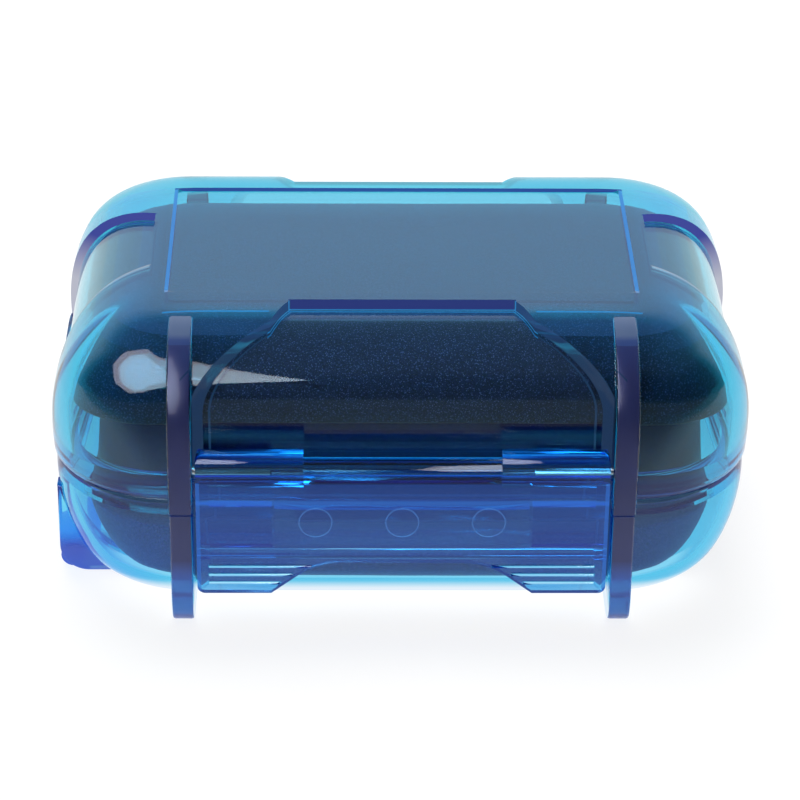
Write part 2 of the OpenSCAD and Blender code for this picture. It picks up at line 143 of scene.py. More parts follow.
def together(*parts):
    """Solids that don't touch, in one bmesh."""
    whole = bmesh.new()
    for part in parts:
        mesh = bpy.data.meshes.new("part")
        part.to_mesh(mesh)
        part.free()
        whole.from_mesh(mesh)
        bpy.data.meshes.remove(mesh)
    return whole


def arc(x, y, r, a, b, steps=12):
    """Points of an arc between two angles, in degrees."""
    turns = [math.radians(a + (b - a) * i / steps) for i in range(steps + 1)]
    return [(x + r * math.cos(t), y + r * math.sin(t)) for t in turns]


def easing(start, end, count):
    """Heights from start to end, closer together towards the end."""
    return [start + (end - start) * math.sin(math.pi / 2 * i / count) for i in range(count + 1)]


def as_object(bm, name):
    bmesh.ops.recalc_face_normals(bm, faces=bm.faces)
    mesh = bpy.data.meshes.new(name)
    bm.to_mesh(mesh)
    bm.free()
    thing = bpy.data.objects.new(name, mesh)
    bpy.context.scene.collection.objects.link(thing)
    return thing


def shaped(name, bm, *steps, soft=0):
    """A solid to which others are joined and from which others are cut, in turn, then softened."""
    thing = as_object(bm, name)
    tools = []
    for operation, solid in steps:
        tools.append(as_object(solid, "tool"))
        step = thing.modifiers.new(operation, "BOOLEAN")
        step.operation, step.object, step.solver = operation, tools[-1], "EXACT"
    if soft:
        edge = thing.modifiers.new("edges", "BEVEL")
        edge.width, edge.segments, edge.limit_method = soft, 2, "ANGLE"
        edge.angle_limit = math.radians(40)
    graph = bpy.context.evaluated_depsgraph_get()
    mesh = bpy.data.meshes.new_from_object(thing.evaluated_get(graph))
    thing.modifiers.clear()
    thing.data = mesh
    for tool in tools:
        bpy.data.objects.remove(tool)
    return thing


JOIN, CUT, KEEP = "UNION", "DIFFERENCE", "INTERSECT"


def placed(thing, node, material, crease=30):
    """Brings a finished piece to metres, in place of its node, with its material."""
    mesh = thing.data
    mesh.transform(Matrix.Scale(MM, 4))
    mesh.shade_smooth()
    mesh.set_sharp_from_angle(angle=math.radians(crease))
    mesh.materials.clear()
    mesh.materials.append(material)
    bodies = frame["record"]["behaviour"]["bodies"]
    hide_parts(node)
    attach(thing, next(body for body, nodes in bodies.items() if node in nodes))
    return thing


# Measures of the case, in millimetres. W, D and H are whole sizes, T is a thickness and R a radius.
# X and Y are places from the middle of the case, and Z is a height over the table.


# Both shells. An END or SIDE draws in so far, over such a height, with such a power.
CASE_W, CASE_D, CASE_H = 109, 69.4, 47.3
SEAM_Z, RIM_GAP, BASE_STEP, FOOT_H = 20.8, 0.2, 0.4, 0.5
RIM_W, RIM_H, RIM_LIP = 3, 3.4, 0.25
LID_LOW, BASE_TOP = SEAM_Z + RIM_GAP / 2, SEAM_Z - RIM_GAP / 2
RIM_INSET = BASE_STEP + RIM_W
BASE_X, BASE_Y = CASE_W / 2 - BASE_STEP, CASE_D / 2 - BASE_STEP
CORNER_R, LID_TOP_R, BASE_FOOT_R, TOP_SHIFT = 19.3, 9.7, 12.8, 1.5
LID_END, LID_SIDE, LID_WALL = (18.5, 24.4, 2.45), (14, 12.3, 2), 2.4
BASE_END, BASE_SIDE, BASE_WALL = (13.3, 18.2, 1.94), (8.8, 7.2, 2), 1.8

# Ribs. The gap is over the hinge ears, and the lift keeps the lid's ribs off the parting line.
RIB_X, LID_RIB_T, BASE_RIB_T, RIB_SOFT = 33.6, 3.7, 3.4, 0.45
RIB_REACH = CASE_D / 2 + 4.7
RIB_TOP, RIB_TOP_R, REAR_RIB_TOP_R, RIB_FOOT_R = CASE_H - RIM_GAP, 15, 20, 5
RIB_ROOT, EAR_GAP, LIFT = 24.5, 0.3, 0.02

# Recesses in the lid, with where the edges of their plans start and end
RECESS_START, RECESS_END, RECESS_DEPTH = (17.1, 21), (RIB_X, 37.2), 1.5
CHANNEL_START, CHANNEL_END, CHANNEL_DEPTH = (39.2, 9), (CASE_W / 2 + 1, 19.3), 1.2
LABEL_X, LABEL_Y, LABEL_R, LABEL_DEPTH = 36, 17.9, 1.2, 0.4
OVERHEAD = 60

# Latch with its parts, which stay a little behind its face, and the catch on the base
LATCH_FACE, LATCH_Y, LATCH_Z = 38.8, 36.7, 27.3
LATCH_W, LATCH_LOW, PLATE_BACK, BARREL_R = 62.6, 6.6, 37.2, 2
KNUCKLE_X, KNUCKLE_UP, KNUCKLE_DOWN = 15, 3.1, 2.4
ARCH_TOP, ARCH_FLAT, ARCH_R, ARCH_SLOPE = 12.1, 9, 11.5, math.radians(38)
HOOK_TOP, HOOK_H, HOOK_D = 13.4, 1, 1.5
PAD_LOW, PAD_HIGH, PAD_D, PAD_GAP = 14.4, 21.5, 1.6, 0.3
RAIL_W, RAIL_D = 2, 1
MARK_R, MARK_PITCH, MARK_Z, MARK_DEPTH = 2.5, 13.15, HOOK_TOP + 5.3, 0.15
GRIP_R, GRIP_START, GRIP_END, GRIP_UP, GRIP_PITCH = 0.35, 1.05, 1.75, 5.65, 1.5
LATCH_BEHIND, LATCH_SOFT, LATCH_CORNER_R = 0.2, 0.2, 1.2
ALL_DEPTHS = (-50, -20)
CATCH_W, CATCH_GAP, CATCH_DROP, CATCH_SUNK = 39, 0.3, 0.2, 0.9

# Hinge barrel with its web, and pins, which are held in one part and let another turn free
HINGE_Y, HINGE_Z, HINGE_R, HINGE_SOFT = RIB_REACH - 2.2, SEAM_Z, 2.2, 0.3
WEB_Y, WEB_T = 33.45, 1.8
PIN_R, PIN_L, PIN_SUNK = 0.75, 15, 0.5
HELD, FREE = 0.01, 0.06

# Seal, its groove in the base and the lid's tongue over it
GROOVE_INSET, GROOVE_W, GROOVE_DEPTH = 1.2, 1.4, 1.35
TONGUE_W, TONGUE_H = 0.8, 0.5
SEAL_W, SEAL_H, SEAL_SOFT = 1.3, 0.95, 0.25

# Lanyard plates and bar
PLATE_Y, PLATE_T, PLATE_R, PLATE_SOFT = 20.5, 3, 4.5, 0.4
PLATE_ROOT, PLATE_SUNK, PLATE_TOP = 40.8, 0.3, 15.7
BAR_X, BAR_R = -51.8, 2

# Tray and sponge blocks
TRAY_LOW, TRAY_TOP, TRAY_WALL, TRAY_LEAN = 15.2, 32.3, 1.6, 1.2
TRAY_X, TRAY_Y, TRAY_R = 48.2, 30.8, 15.4
SPONGE_GAP, SPONGE_SOFT, SPONGE_FLAT = 0.3, 0.6, 3


class Form:
    """The rounded outer form of a shell, from the parting line to its far side."""

    def __init__(self, half_x, half_y, far, far_r, end, side, wall):
        self.half_x, self.half_y, self.wall = half_x, half_y, wall
        self.far, self.far_r = far, far_r
        self.way = 1 if far > SEAM_Z else -1
        self.end, self.side = end, side

    def section(self, z, t=0):
        """Half width, half depth and corner radius at height z, t inside the outer face."""

        def drawn_in(inset, rise, power):
            s = (rise - abs(self.far - z)) / (rise - t)
            s = min(1, max(0, s))
            return (inset - t) * (1 - max(0, 1 - s**power) ** (1 / power))

        share = (z - SEAM_Z) / (self.far - SEAM_Z)
        radius = CORNER_R + (self.far_r - CORNER_R) * share
        return (
            self.half_x - t - drawn_in(*self.end),
            self.half_y - t - drawn_in(*self.side),
            radius - t,
        )

    def rings(self, t, start, count=RINGS):
        """Rings from a height to the far side, closer together towards it."""
        far = self.far - self.way * t
        return [ring(z, *self.section(z, t)) for z in easing(start, far, count)]

    def body(self, t, start, lip=0):
        """The solid of the form above or below a height, with a rounded lip where it starts."""
        turned = []
        for i in range(4 if lip else 0, 0, -1):
            a = math.pi / 2 * i / 4
            z = start + self.way * lip * (1 - math.sin(a))
            half_x, half_y, r = self.section(start, t)
            back = lip * (1 - math.cos(a))
            turned.append(ring(z, half_x - back, half_y - back, r - back))
        return loft(turned + self.rings(t, start + self.way * lip))


LID = Form(CASE_W / 2, CASE_D / 2, CASE_H, LID_TOP_R, LID_END, LID_SIDE, LID_WALL)
BASE = Form(BASE_X, BASE_Y, FOOT_H, BASE_FOOT_R, BASE_END, BASE_SIDE, BASE_WALL)


def rim_ring(inset, width, low, high, soft=0):
    """A closed ring that follows the parting line's outline, with softened edges."""

    def around(z, t):
        return ring(z, CASE_W / 2 - t, CASE_D / 2 - t, CORNER_R - t)

    out, inner = inset, inset + width
    if not soft:
        course = [(low, out), (high, out), (high, inner), (low, inner)]
    else:
        course = [
            (low, out + soft), (low + soft, out), (high - soft, out), (high, out + soft),
            (high, inner - soft), (high - soft, inner), (low + soft, inner), (low, inner - soft),
        ]
    return loft([around(z, t) for z, t in course], closed=True)


def cavity(form, mouth, rim):
    """The hollow of a shell: straight through its rim, then inside its wall."""
    half_x, half_y, r = CASE_W / 2 - RIM_INSET, CASE_D / 2 - RIM_INSET, CORNER_R - RIM_INSET
    through = [ring(z, half_x, half_y, r) for z in (mouth - form.way, rim)]
    return loft(through + form.rings(form.wall, rim))


# The lid


RECESS_COURSE = [(0, 0), (0.08, 0.14), (0.18, 0.35), (1, 1)]
CHANNEL_COURSE = [(0, 0), (0.17, 0.12), (0.38, 0.27), (0.61, 0.48), (0.78, 0.7), (1, 1)]


def blended(course, first, last):
    """A course of shares between two points."""
    (x0, y0), (x1, y1) = first, last
    return [(x0 + (x1 - x0) * a, y0 + (y1 - y0) * b) for a, b in course]


def recess_plan(side):
    """Plan of the recess that the latch's knuckles turn in, or of its twin behind."""
    edge = blended(RECESS_COURSE, RECESS_START, RECESS_END) + [(RIB_X, RIB_REACH)]
    whole = edge + [(-x, y) for x, y in reversed(edge)]
    return [(x, side * y + TOP_SHIFT) for x, y in whole]


def channel_plan(side):
    """Plan of the channel over one end, which widens outwards."""
    edge = blended(CHANNEL_COURSE, CHANNEL_START, CHANNEL_END)
    whole = edge + [(x, -y) for x, y in reversed(edge)]
    return [(side * x, y + TOP_SHIFT) for x, y in whole]


def lid_rib(low, r):
    """Side outline of a lid rib that starts at height low and has an upper end of radius r."""
    y, z = RIB_REACH - r, RIB_TOP - r
    return [(y, low), (RIB_REACH, low)] + arc(y, z, r, 0, 90, 24)


def ribs(front, rear, t):
    """Four ribs from a front and a rear outline, the rear one as seen from behind."""
    plates = []
    for x in (-RIB_X, RIB_X):
        plates.append(mirrored(side_plate(front, x - t / 2, x + t / 2, RIB_SOFT), 1))
        plates.append(side_plate(rear, x - t / 2, x + t / 2, RIB_SOFT))
    return plates


def lid_shell(material):
    over = LID_LOW + RIM_H
    channels = together(*[prism(channel_plan(side), over, OVERHEAD) for side in (-1, 1)])
    recesses = together(*[prism(recess_plan(side), over, OVERHEAD) for side in (-1, 1)])
    floor = CASE_H - LABEL_DEPTH
    label = loft(
        [
            ring(z, LABEL_X + out, LABEL_Y + out, LABEL_R + out, TOP_SHIFT)
            for z, out in ((floor, 0), (floor + 0.06, 0), (CASE_H, 0.45), (CASE_H + 1, 1.6))
        ]
    )
    barrel = rod(HINGE_R, -LATCH_W / 2, LATCH_W / 2, HINGE_Y, HINGE_Z, HINGE_SOFT)
    inset = GROOVE_INSET + (GROOVE_W - TONGUE_W) / 2
    tongue = rim_ring(inset, TONGUE_W, LID_LOW - TONGUE_H, LID_LOW + TONGUE_H)
    half_web = LATCH_W / 2 - HINGE_SOFT
    web = block((-half_web, WEB_Y, LID_LOW + LIFT), (half_web, HINGE_Y, LID_LOW + WEB_T))
    hinge_bore = rod(PIN_R + FREE, -LATCH_W, LATCH_W, HINGE_Y, HINGE_Z)
    pin_bores = [
        rod(PIN_R + HELD, x - LID_RIB_T, x + LID_RIB_T, -LATCH_Y, LATCH_Z)
        for x in (-RIB_X, RIB_X)
    ]
    rear = lid_rib(SEAM_Z + 2 * HINGE_R + EAR_GAP, REAR_RIB_TOP_R)
    plates = ribs(lid_rib(LID_LOW + LIFT, RIB_TOP_R), rear, LID_RIB_T)
    lid = shaped(
        "lid_shell_clear",
        LID.body(0, LID_LOW, RIM_LIP),
        (CUT, channels),
        (JOIN, LID.body(CHANNEL_DEPTH, LID_LOW + 1)),
        (CUT, recesses),
        (JOIN, LID.body(RECESS_DEPTH, LID_LOW + 1.2)),
        (CUT, label),
        (JOIN, together(*plates, barrel, tongue)),
        (JOIN, web),
        (CUT, cavity(LID, LID_LOW, over)),
        (CUT, together(hinge_bore, *pin_bores)),
    )
    return placed(lid, "lid_shell", material)


# The base


def base_rib(ear):
    """Side outline of a base rib down to its foot, with the hinge ear on a rear one."""
    outline = [(RIB_ROOT, 0)] + arc(RIB_REACH - RIB_FOOT_R, RIB_FOOT_R, RIB_FOOT_R, -90, 0)
    if ear:
        outline += arc(HINGE_Y, HINGE_Z, HINGE_R, 0, 180, 24) + [(HINGE_Y - HINGE_R, BASE_TOP)]
    else:
        outline += [(RIB_REACH, BASE_TOP)]
    return outline + [(RIB_ROOT, BASE_TOP)]


def catch():
    """The block that the latch's lip snaps under."""
    low, high = HOOK_TOP + CATCH_GAP, BASE_TOP - CATCH_DROP
    root, tip = BASE_Y - CATCH_SUNK, PLATE_BACK - CATCH_SUNK
    outline = [(root, low), (tip, low), (tip, high), (root, high)]
    return mirrored(side_plate(outline, -CATCH_W / 2, CATCH_W / 2, 0.2), 1)


def lanyard_plates():
    """Two plates under the left end, with the outline of a rib's foot."""
    face = BASE_X - PLATE_SUNK
    outline = [(PLATE_ROOT, 0)] + arc(face - PLATE_R, PLATE_R, PLATE_R, -90, 0)
    outline += [(face, PLATE_TOP), (PLATE_ROOT, PLATE_TOP)]
    plates = []
    for y in (-PLATE_Y, PLATE_Y):
        plate = prism([(-x, z) for x, z in outline], -PLATE_T / 2, PLATE_T / 2)
        rim = [e for e in plate.edges if abs(e.verts[0].co.z - e.verts[1].co.z) < 0.001]
        soften(plate, PLATE_SOFT, rim)
        spot = Matrix.Translation((0, y, 0)) @ Matrix.Rotation(math.pi / 2, 4, "X")
        bmesh.ops.transform(plate, matrix=spot, verts=plate.verts)
        plates.append(plate)
    return plates


def lanyard_bar():
    bar = rod(BAR_R, -PLATE_Y, PLATE_Y, 0, 0)
    spot = Matrix.Translation((BAR_X, 0, BAR_R)) @ Matrix.Rotation(math.pi / 2, 4, "Z")
    bmesh.ops.transform(bar, matrix=spot, verts=bar.verts)
    return bar


def base_shell(material):
    plates = ribs(base_rib(False), base_rib(True), BASE_RIB_T)
    groove = rim_ring(GROOVE_INSET, GROOVE_W, BASE_TOP - GROOVE_DEPTH, BASE_TOP + 1)
    bores = [
        rod(PIN_R + HELD, x - BASE_RIB_T, x + BASE_RIB_T, HINGE_Y, HINGE_Z)
        for x in (-RIB_X, RIB_X)
    ]
    base = shaped(
        "base_shell_clear",
        BASE.body(0, BASE_TOP, RIM_LIP),
        (JOIN, together(*plates, *lanyard_plates(), catch())),
        (JOIN, lanyard_bar()),
        (CUT, cavity(BASE, BASE_TOP, BASE_TOP - RIM_H)),
        (CUT, together(groove, *bores)),
    )
    return placed(base, "base_shell", material)


# The latch


def arch_half(z):
    """Half width of the finger arch at height z."""
    drop, bend = ARCH_TOP - z, ARCH_R * (1 - math.cos(ARCH_SLOPE))
    if drop < bend:
        return ARCH_FLAT + ARCH_R * math.sin(math.acos(1 - drop / ARCH_R))
    return ARCH_FLAT + ARCH_R * math.sin(ARCH_SLOPE) + (drop - bend) / math.tan(ARCH_SLOPE)


def grip_z(i):
    """The height of a grip groove of the latch, counted from the top one."""
    return LATCH_LOW + GRIP_UP - (i - 0.5) * GRIP_PITCH


def latch_hull(high):
    """The latch's outline from the front, with rounded corners, through all depths."""
    half_x, half_z = LATCH_W / 2 - LATCH_CORNER_R, (high - LATCH_LOW) / 2 - LATCH_CORNER_R
    middle = (high + LATCH_LOW) / 2
    outline = []
    for sx, sz, a in ((1, 1, 0), (-1, 1, 90), (-1, -1, 180), (1, -1, 270)):
        outline += arc(sx * half_x, middle + sz * half_z, LATCH_CORNER_R, a, a + 90, 8)
    return prism(outline, *ALL_DEPTHS)


def finger_arch():
    """The opening under the latch's lower edge, through all depths."""
    half = [(arch_half(z), z) for z in easing(LATCH_LOW, ARCH_TOP, 16)]
    foot = arch_half(LATCH_LOW)
    outline = [(-foot, LATCH_LOW - 1), (foot, LATCH_LOW - 1)]
    return prism(outline + half + [(-x, z) for x, z in reversed(half)], *ALL_DEPTHS)


def latch_marks(stand):
    """Three shallow round moulding marks in the latch's back."""
    marks, plug = [], 1.6
    for i in (-1, 0, 1):
        mark = bmesh.new()
        place = (i * MARK_PITCH, PLATE_BACK + MARK_DEPTH - plug / 2, MARK_Z)
        bmesh.ops.create_cone(
            mark,
            cap_ends=True,
            segments=64,
            radius1=MARK_R,
            radius2=MARK_R,
            depth=plug,
            matrix=Matrix.Translation(place) @ stand,
        )
        marks.append(mark)
    return marks


def latch(material):
    """The latch, built with its face at +Y and then mirrored to the front."""
    high = LATCH_Z + KNUCKLE_UP
    face, back, edge = LATCH_FACE, PLATE_BACK, LATCH_W / 2
    turn = math.degrees(math.asin((back - LATCH_Y) / BARREL_R))
    plate = side_plate(
        [(back, LATCH_LOW), (face, LATCH_LOW), (face, LATCH_Z)]
        + arc(LATCH_Y, LATCH_Z, BARREL_R, 0, 270 + turn, 40),
        -edge,
        edge,
    )
    outer_r, inner_r = 1.5, 0.75
    knuckle = (
        [(LATCH_Y - 1.5, LATCH_Z - KNUCKLE_DOWN), (face, LATCH_Z - KNUCKLE_DOWN)]
        + arc(face - outer_r, high - outer_r, outer_r, 0, 90)
        + arc(LATCH_Y - inner_r, high - inner_r, inner_r, 90, 180, 8)
    )
    knuckles = [side_plate(knuckle, x, x + edge - KNUCKLE_X) for x in (-edge, KNUCKLE_X)]
    front = face - LATCH_BEHIND
    inner = CATCH_W / 2 + PAD_GAP
    lip = block((-edge, back - HOOK_D, HOOK_TOP - HOOK_H), (edge, front, HOOK_TOP))
    pads = [
        block((x, back - PAD_D, PAD_LOW), (x + edge - inner, front, PAD_HIGH))
        for x in (-edge, inner)
    ]
    rails = [
        block((x, back - RAIL_D, ARCH_TOP), (x + RAIL_W, front, LATCH_Z))
        for x in (-edge, edge - RAIL_W)
    ]
    stand = Matrix.Rotation(math.pi / 2, 4, "X")
    hull, opening = latch_hull(high), finger_arch()
    for solid in (hull, opening):
        bmesh.ops.transform(solid, matrix=stand, verts=solid.verts)
    grooves = []
    for i in (1, 2, 3):
        z = grip_z(i)
        start, end = arch_half(z) + GRIP_START, edge - GRIP_END
        grooves.append(rod(GRIP_R, start, end, face, z, 0.15, 16))
        grooves.append(rod(GRIP_R, -end, -start, face, z, 0.15, 16))
    bore = rod(PIN_R + FREE, -LATCH_W, LATCH_W, LATCH_Y, LATCH_Z)
    thing = shaped(
        "latch_clear",
        plate,
        (JOIN, together(lip, *knuckles)),
        (JOIN, together(*pads)),
        (JOIN, together(*rails)),
        (KEEP, hull),
        (CUT, opening),
        (CUT, together(bore, *latch_marks(stand))),
        (CUT, together(*grooves)),
        soft=LATCH_SOFT,
    )
    thing.data.transform(Matrix.Scale(-1, 4, (0, 1, 0)))
    thing.data.flip_normals()
    return placed(thing, "latch", material)


# Pins, seal and lining


def pins(material):
    for name, side, t, y, z in (
        ("latch_pin_right", 1, LID_RIB_T, -LATCH_Y, LATCH_Z),
        ("latch_pin_left", -1, LID_RIB_T, -LATCH_Y, LATCH_Z),
        ("hinge_pin_right", 1, BASE_RIB_T, HINGE_Y, HINGE_Z),
        ("hinge_pin_left", -1, BASE_RIB_T, HINGE_Y, HINGE_Z),
    ):
        outer = RIB_X + t / 2 - PIN_SUNK
        ends = sorted((side * outer, side * (outer - PIN_L)))
        pin = shaped(name + "_wire", rod(PIN_R, *ends, y, z, 0.12, 48))
        placed(pin, name, material)


def rim_seal(material):
    low, inset = BASE_TOP - GROOVE_DEPTH, GROOVE_INSET + (GROOVE_W - SEAL_W) / 2
    seal = shaped("rim_seal_cord", rim_ring(inset, SEAL_W, low, low + SEAL_H, SEAL_SOFT))
    placed(seal, "rim_seal", material)


def sponge_block(name, node, material, form, flat, short, lean=0, rear=0, rounder=0):
    """A sponge block inside a shell's wall: flat where it meets the tray, slightly uneven."""
    inside = form.wall + SPONGE_GAP
    far = form.far - form.way * inside

    def around(z, back=0):
        k = (z - flat) / (far - flat)
        half_x, half_y, r = form.section(z, inside)
        half_x -= short + lean * k * k + back
        half_y -= rear / 2 * k * k + back
        return ring(z, half_x, half_y, r + rounder * k - back, -rear / 2 * k * k)

    soft = SPONGE_SOFT
    rings = [around(flat, SPONGE_FLAT)]
    for i in range(5):
        a = math.pi / 2 * i / 4
        rings.append(around(flat + form.way * soft * (1 - math.cos(a)), soft * (1 - math.sin(a))))
    start = flat + form.way * soft
    rings += [around(z) for z in easing(start, far, 24)[1:]]
    rings.append(around(far, SPONGE_FLAT))
    bm = loft(rings)
    bmesh.ops.recalc_face_normals(bm, faces=bm.faces)
    bm.normal_update()
    for vert in bm.verts:
        lump = noise.noise(vert.co * 0.09) * 0.6 + noise.noise(vert.co * 0.5) * 0.2
        vert.co += vert.normal * (lump - 0.8) * 0.15
    piece = placed(shaped(name, bm), node, material, 50)


def tray(material):
    """An open tub lofted down its outside and up again inside, with a rounded rim."""
    low, high, wall, lean = TRAY_LOW, TRAY_TOP, TRAY_WALL, TRAY_LEAN / (TRAY_TOP - TRAY_LOW)
    floor, foot, foot_mid, lip, lip_mid = low + wall, 1.2, 0.35, 0.4, 0.12

    def around(z, t):
        t += (z - low) * lean
        return ring(z, TRAY_X - t, TRAY_Y - t, TRAY_R - t)

    course = [(low, foot), (low + foot_mid, foot_mid), (low + foot, 0)]
    course += [(high - lip, 0), (high - lip_mid, lip_mid), (high, lip)]
    course += [(high, wall - lip), (high - lip_mid, wall - lip_mid), (high - lip, wall)]
    course += [(floor + foot, wall), (floor + foot_mid, wall + foot_mid), (floor, wall + foot)]
    tub = shaped("tray_tub", loft([around(z, t) for z, t in course]))
    placed(tub, "tray", material)


# Shader maths


class Socket:
    """A node's output that takes part in sums: each operator adds a Math node."""

    def __init__(self, tree, value):
        self.tree = tree
        self.value = value

    def _math(self, operation, *values):
        return self.tree.add("ShaderNodeMath", {"operation": operation}, *values)

    def __add__(self, other):
        return self._math("ADD", self, other)

    def __sub__(self, other):
        return self._math("SUBTRACT", self, other)

    def __rsub__(self, other):
        return self._math("SUBTRACT", other, self)

    def __mul__(self, other):
        return self._math("MULTIPLY", self, other)

    def __lt__(self, other):
        return self._math("LESS_THAN", self, other)

    def __gt__(self, other):
        return self._math("GREATER_THAN", self, other)

    def size(self):
        return self._math("ABSOLUTE", self)

    def above(self, low):
        return self._math("MAXIMUM", self, low)

    def near(self, place, reach):
        """1 within reach of a place, and 0 elsewhere."""
        return (self - place).size() < reach

    def to_power(self, power):
        return self._math("POWER", self, power)

    __radd__ = __add__
    __rmul__ = __mul__


class Tree:
    """The nodes of one material or of the world."""

    def __init__(self, name, kind="Material"):
        self.owner = bpy.data.worlds.new(name) if kind == "World" else bpy.data.materials.new(name)
        self.owner.use_nodes = True
        self.nodes = self.owner.node_tree.nodes
        self.links = self.owner.node_tree.links
        self.nodes.clear()
        self.output = self.nodes.new("ShaderNodeOutput" + kind)

    def fill(self, socket, value):
        """Sets a socket, or links it where the value comes from another node."""
        if isinstance(value, Socket):
            self.links.new(value.value, socket)
        else:
            socket.default_value = value

    def add(self, kind, settings=None, *values, out=0, **sockets):
        """A node of that kind, with its settings, then its inputs by place or by name."""
        node = self.nodes.new(kind)
        for name, setting in (settings or {}).items():
            if name == "stops":
                set_stops(node.color_ramp, setting)
            else:
                setattr(node, name, setting)
        for socket, value in zip(node.inputs, values):
            self.fill(socket, value)
        for name, value in sockets.items():
            self.fill(node.inputs[name.replace("_", " ")], value)
        return Socket(self, node.outputs[out])

    def mixed(self, share, first, second):
        """The first colour, and as much of the second as the share says."""
        colour = self.add("ShaderNodeMix", {"data_type": "RGBA"}, out=2)
        sockets = colour.value.node.inputs
        for i, value in ((0, share), (6, first), (7, second)):
            self.fill(sockets[i], value)
        return colour

    def glow(self, below, mask, layer):
        """A shader that gives way to an emitted colour inside a mask, by the layer's share, where
        light and shade are painted.
        """
        share, colour = layer
        light = self.add("ShaderNodeEmission", None, Color=colour, Strength=1)
        return self.add("ShaderNodeMixShader", None, mask * share, below, light)

    def surface(self, shader):
        self.links.new(shader.value, self.output.inputs["Surface"])

    def volume(self, shader):
        self.links.new(shader.value, self.output.inputs["Volume"])


def set_stops(ramp, stops):
    """Fills a colour ramp with (place, colour) stops."""
    while len(ramp.elements) < len(stops):
        ramp.elements.new(1)
    for element, (place, colour) in zip(ramp.elements, stops):
        element.position = place
        element.color = colour


def grey(level):
    return (level, level, level, 1)


# Materials


class Spot:
    """Where a point of the closed case lies, in millimetres, and on which side of its top."""

    def __init__(self, m, place):
        self.x, self.y, self.z = (
            m.add("ShaderNodeSeparateXYZ", None, place, out=axis) * (1 / MM) for axis in "XYZ"
        )
        self.wide, self.deep = self.x.size(), self.y - TOP_SHIFT
        self.across = self.deep.size()
        self.front, self.rear = self.deep < 0, self.deep > 0
        self.top = self.z > TOP_LOW
        self.height = self.z * (1 / CASE_H)
        self.on_rib = self.wide.near(RIB_X, LID_RIB_T / 2 - 0.25)
        self.off_rib = 1 - self.on_rib

    def along(self, m, course, start, end):
        """How far a course in plan has gone from its start to its end, at this width."""
        stops = [(share, grey(rise)) for share, rise in course]
        share = (self.wide - start[0]) * (1 / (end[0] - start[0]))
        return m.add("ShaderNodeValToRGB", {"stops": stops}, share) * (end[1] - start[1])


def rib_painted_shade(m, body, at, place):
    """Painted shade on the ribs' outer faces: a darker, half matt shader, with painted blue light
    at the foot, a painted grey reflection at the top, and marks along their width.
    """
    inset, rise, power = LID_SIDE
    out = (at.y.size() - (CASE_D / 2 - inset)).above(0) * (1 / inset)
    up = (at.z - (CASE_H - rise)).above(0) * (1 / rise)
    off_body = 1.04 < out.to_power(power) + up.to_power(power)
    streaks = m.add("ShaderNodeMapping", None, Vector=place, Scale=(3500, 150, 150))
    drawn = m.add("ShaderNodeTexNoise", None, Vector=streaks, Scale=1, Detail=2)
    skin = m.add(
        "ShaderNodeBsdfPrincipled",
        None,
        Base_Color=m.add("ShaderNodeValToRGB", {"stops": RIB_PAINTED_SHADES}, at.height),
        Roughness=drawn * 0.2 + 0.25,
        IOR=1.6,
        Normal=m.add("ShaderNodeBump", None, Strength=0.1, Distance=0.05 * MM, Height=drawn),
    )
    # The tops of the rear ribs get no painted shade
    seen = 1 - (at.y > 0) * (at.z > REAR_PAINT_TOP)
    return m.add("ShaderNodeMixShader", None, at.on_rib * off_body * seen * RIB_PAINT_SHARE, body, skin)


def plate_painted_shade(m, body, at):
    """Painted shade: a darker, deeper blue towards the lower end of the lanyard plates."""
    plate = at.y.size().near(PLATE_Y, PLATE_T / 2 + 0.1) * (at.x < PLATE_SKIN_X)
    dusk = m.add(
        "ShaderNodeBsdfPrincipled", None, Base_Color=LUG_PAINTED_SHADE, Roughness=0.25, IOR=CLEAR_IOR
    )
    fade = m.add("ShaderNodeValToRGB", {"stops": LUG_FADE}, at.z * 0.1)
    return m.add("ShaderNodeMixShader", None, plate * fade, body, dusk)


def recess_lines(m, body, at):
    """Painted light and shade at the latch recess: a deep violet step, darker flanks, and a bright
    painted highlight line before both.
    """
    (x0, y0), (x1, _) = RECESS_START, RECESS_END
    step = at.across.near(y0, 0.2) * (at.wide < x0 + 0.3) * at.top
    body = m.glow(body, step * at.front, STEP_PAINTED_SHADE)
    flare = at.across - at.along(m, RECESS_COURSE, RECESS_START, RECESS_END)
    flank = flare.near(y0, 0.14) * (at.wide > x0) * (at.wide < x1 - 0.2)
    body = m.glow(body, flank * at.front, FLANK_PAINTED_SHADE)
    edge = flare.near(y0 + 0.3, 0.12) * (at.wide > x0) * (at.wide < SHOULDER_X0 + 0.2)
    body = m.glow(body, edge * at.front, SHOULDER_HIGHLIGHT)
    line = at.across.near(SHOULDER_Y, 0.2) * (at.wide > SHOULDER_X0) * (at.wide < SHOULDER_X1)
    line = line * (at.z > SHOULDER_Z)
    foot = at.across.near(y0 + 0.36, 0.13) * (at.wide < x0 + 0.3) * (at.z > END_TOP)
    return m.glow(body, (line + foot) * at.front, SHOULDER_HIGHLIGHT)


def painted_veils(m, body, at):
    """Faint painted light: blue on the top and at the left, cyan behind, and pale low in front."""
    body = m.glow(body, at.top, TOP_PAINTED_LIGHT)
    body = m.glow(body, (at.wide - END_X).above(0) * (at.z > END_TOP), END_PAINTED_LIGHT)
    body = m.glow(body, (at.deep > REAR_Y) * (at.z > REAR_Z), REAR_PAINTED_LIGHT)
    under = (UNDER_Z - at.z).above(0) * (at.y < UNDER_Y) * at.off_rib
    body = m.glow(body, under, LOW_PAINTED_LIGHT)
    left = (LEFT_X - at.x).above(0) * (LEFT_Z - at.z).above(0)
    return m.glow(body, left, LEFT_PAINTED_LIGHT)


